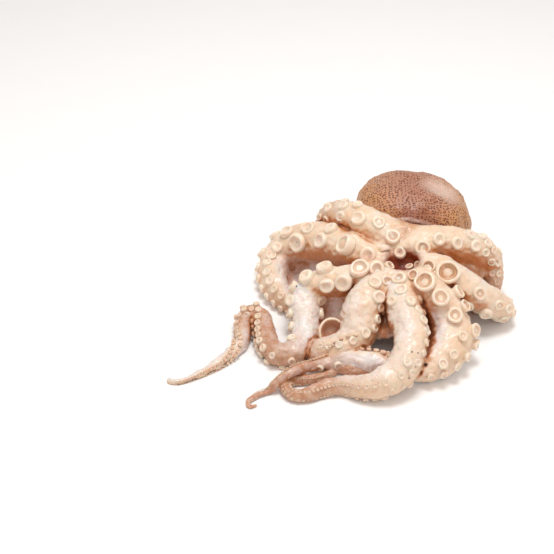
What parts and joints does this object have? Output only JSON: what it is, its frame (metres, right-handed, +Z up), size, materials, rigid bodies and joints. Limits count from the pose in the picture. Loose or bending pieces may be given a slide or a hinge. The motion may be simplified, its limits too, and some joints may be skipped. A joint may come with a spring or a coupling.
{
  "type": "whole octopus",
  "caption": "Whole raw octopus lying on its back, mouth up, with its arms in loose loops and its rounded mantle behind.",
  "frame": {"origin": "centre of the whole octopus's bounding box, on the surface that it lies on", "axes": "+Z up, +Y from the mouth towards the mantle, +X to the right as seen from the mouth side, along the longest extent"},
  "size_m": [0.1958, 0.1871, 0.0559],
  "materials": {
    "flesh": "wet and smooth, with a soft sheen"
  },
  "bodies": {
    "root": {"octopus": "flesh"}
  },
  "joints": []
}
